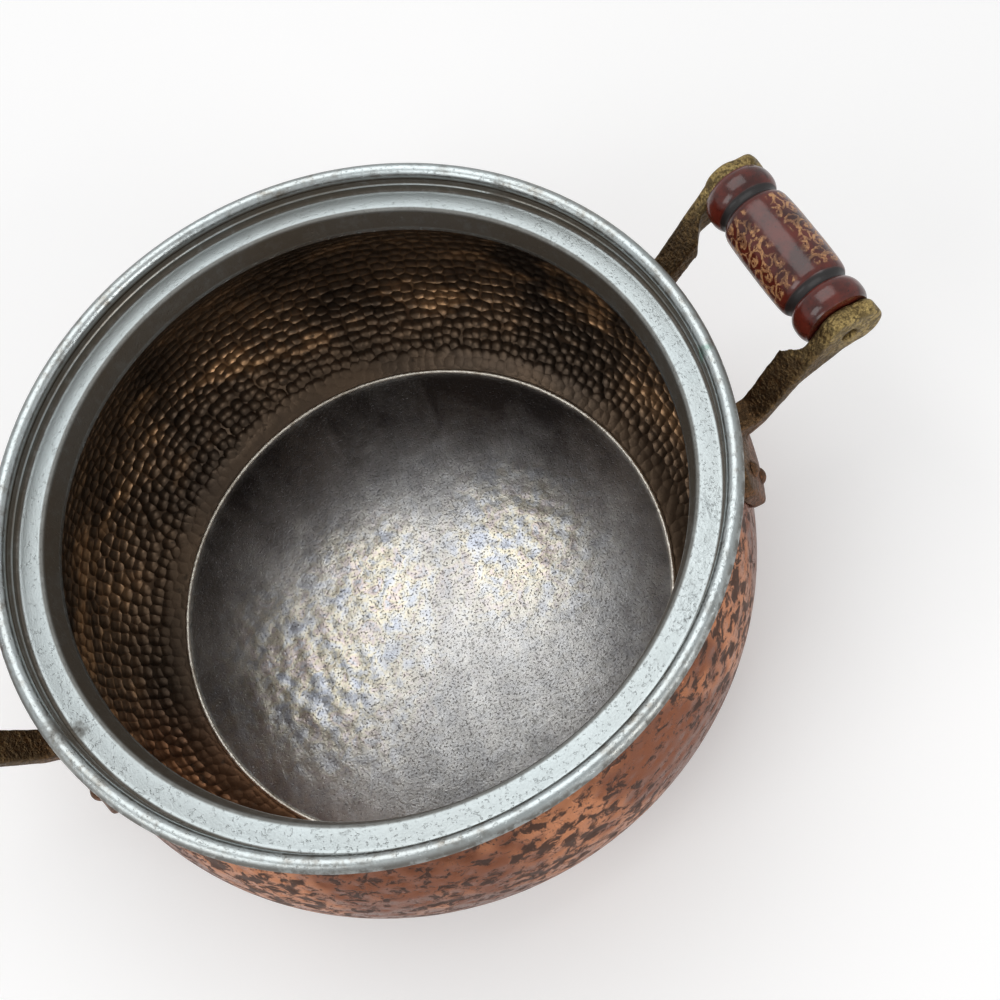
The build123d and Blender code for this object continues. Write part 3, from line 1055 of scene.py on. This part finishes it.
@dataclass
class Handle:
    """One handle: two cast arms, a rod, a turned grip and four rivets, in millimetres."""

    side: Side
    lead: float = 2.6
    reach: float = 137.3
    height: float = 97.4
    bore: float = 2.13
    casting_grain: float = 0.5
    bead_reach: float = 10.65
    bead_drop: float = 1.15
    bead_middle: float = 22.5
    bead_half: float = 3.75
    barrel: float = 10.7

    def grip(self) -> bpy.types.Object:
        """Turn the grip about the rod.

        Returns:
            The grip.
        """
        turn = radians(self.lead if self.side is Side.RIGHT else 180 - self.lead)
        out = Vector((cos(turn), sin(turn), 0))
        along = Vector((-sin(turn), cos(turn), 0))
        half = [(self.bore, 26.5), (9.2, 26.6), (9.5, 26.5)]
        half += [
            (self.bead_reach - self.bead_drop * (abs(s) ** 2.6), self.bead_middle - self.bead_half * s)
            for s in np.linspace(-0.98, 0.98, 15)
        ]
        half += [(9.25, 18.45), (9.05, 18.0), (8.95, 17.3), (9.0, 16.6), (9.25, 16.0), (9.7, 15.6)]
        half += [(10.1, 15.0), (10.35, 13.9), (10.5, 12.0), (10.6, 9.5), (10.68, 6.5), (self.barrel, 3.0)]
        section = half + [(self.barrel, 0.0)] + [(r, -s) for r, s in reversed(half)]
        spot = out * self.reach * MM + Vector((0, 0, self.height * MM))
        name = f"{self.side.value}_turned_grip"
        return Turning(name, section, 96, spot, along, out, self.barrel).build()

    def casting(self, node: str) -> bpy.types.Object:
        """Soften a casting from its solid: merge, remesh, smooth and roughen.

        Args:
            node: the arm's node.

        Returns:
            The casting.
        """
        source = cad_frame()["nodes"][node]
        piece = source.copy()
        piece.data = source.data.copy()
        bpy.context.scene.collection.objects.link(piece)
        piece.name = f"{node}_casting"
        piece.parent = None
        piece.matrix_world = Matrix.Identity(4)
        only(piece)
        bpy.ops.object.mode_set(mode="EDIT")
        bpy.ops.mesh.select_all(action="SELECT")
        bpy.ops.mesh.remove_doubles(threshold=WELD)
        bpy.ops.object.mode_set(mode="OBJECT")
        shell = piece.modifiers.new("shell", "REMESH")
        shell.mode = "VOXEL"
        shell.voxel_size = self.casting_grain * MM
        bpy.ops.object.modifier_apply(modifier="shell")
        soft = piece.modifiers.new("soft", "SMOOTH")
        soft.factor = 0.5
        soft.iterations = 8
        bpy.ops.object.modifier_apply(modifier="soft")
        skin = bpy.data.textures.new("casting_skin", "CLOUDS")
        skin.noise_scale = 0.004
        rough = piece.modifiers.new("rough", "DISPLACE")
        rough.texture = skin
        rough.strength = 0.30 * MM
        rough.mid_level = 0.55
        bpy.ops.object.modifier_apply(modifier="rough")
        bpy.ops.object.shade_smooth()
        return piece

    def build(self) -> None:
        """Make and dress the pieces of the handle."""
        side = self.side.value
        body = f"{side}_grip_body"
        dress(self.grip(), (PaintedLacquer("painted_lacquer"),), "lacquered_wood", body, f"{side}_grip")
        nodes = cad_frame()["nodes"]
        dress(nodes[f"{side}_rod"], (DullSteel("dull_steel"),), "rod_steel", "pot")
        for end in End:
            arm = f"{side}_{end.value}_arm"
            dress(self.casting(arm), (CastBrass("aged_casting"),), "cast_brass", "pot", arm)
            for level in ("upper", "lower"):
                rivet = nodes[f"{side}_{end.value}_rivet_{level}"]
                dress(rivet, (CastBrass("aged_casting"),), "rivet_brass", "pot")


@dataclass(frozen=True)
class Lamp:
    """A soft square lamp that faces the pot."""

    name: str
    spot: Color
    size: float
    power: float

    def build(self) -> None:
        """Add the lamp and turn it to the pot."""
        only(None)
        bpy.ops.object.light_add(type="AREA", location=self.spot)
        lamp = bpy.context.object
        lamp.name = self.name
        lamp.data.energy = self.power
        lamp.data.size = self.size
        lamp.rotation_euler = (-Vector(self.spot)).to_track_quat("-Z", "Y").to_euler()


@dataclass
class Studio:
    """Floor, lamps, world and camera."""

    lamps: tuple[Lamp, ...] = (
        Lamp("lamp_over", (0.00, 0.34, 0.95), 0.8, 3.4),
        Lamp("lamp_left", (-0.8, -0.3, 0.7), 0.6, 2.6),
        Lamp("lamp_front", (0.55, -0.85, 0.5), 0.5, 3.0),
    )
    matt_light: float = 0.45
    seen_light: float = 0.55
    glossy_share: float = 0.25
    eye: Color = (0.0185, -0.14765, 0.36305)
    up: Color = (0.4271, 0.8129, 0.3960)
    ahead: Color = (0.0489, 0.4165, -0.9078)
    lens: float = 39.17

    def floor(self) -> None:
        """A wide pale floor that the camera sees as white outside the shadow."""
        only(None)
        bpy.ops.mesh.primitive_plane_add(size=4.0, location=(0, 0, 0))
        plane = bpy.context.object
        plane.name = "pale_floor"
        dress(plane, (PaleFloor("pale_floor"),), "", "")

    def world(self) -> None:
        """Grey light for matt surfaces, white where the camera, metal or glass sees the sky."""
        world = bpy.data.worlds.new("studio_air")
        bpy.context.scene.world = world
        tree = Tree(world)
        path = tree.node("ShaderNodeLightPath", {}, {}, "Is Camera Ray")
        glossy = path.other("Is Glossy Ray") * self.glossy_share
        seen = path.high(glossy).high(path.other("Is Transmission Ray"))
        strength = seen * self.seen_light + self.matt_light
        glow = tree.node("ShaderNodeBackground", {}, {"Color": (1.0, 1.0, 1.0, 1.0), "Strength": strength})
        output = tree.nodes.new("ShaderNodeOutputWorld")
        tree.links.new(glow.socket, output.inputs["Surface"])

    def camera(self) -> None:
        """A camera at the photograph's place and angle."""
        bpy.ops.object.camera_add()
        camera = bpy.context.object
        camera.name = "studio_camera"
        camera.data.lens = self.lens
        camera.data.sensor_width = 36.0
        camera.data.clip_start = 0.01
        back = -Vector(self.ahead).normalized()
        side = Vector(self.up).cross(back).normalized()
        rise = back.cross(side)
        turn = Matrix((side, rise, back)).transposed().to_4x4()
        camera.matrix_world = Matrix.Translation(Vector(self.eye)) @ turn
        bpy.context.scene.camera = camera

    def build(self) -> None:
        """Set up the whole studio."""
        self.floor()
        for lamp in self.lamps:
            lamp.build()
        self.world()
        self.camera()
        bpy.context.scene.view_settings.view_transform = "Standard"


frame: dict[str, Any] = {}


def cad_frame() -> dict[str, Any]:
    """The loaded frame."""
    return frame


def main() -> None:
    """Build the pot, its handles and the studio in order."""
    logging.basicConfig(level=logging.INFO, format="%(message)s")
    frame.update(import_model())
    wall = PotWall()
    wall.dress(wall.build())
    rim = PotRim()
    rim.dress(rim.build())
    floor = PotFloor()
    floor.dress(*floor.build())
    dress(frame["nodes"]["rim_wire"], (DullSteel("dull_steel"),), "wire", "pot")
    for side in Side:
        Handle(side).build()
    Studio().build()
    only(None)


if __name__ == "__main__":
    main()
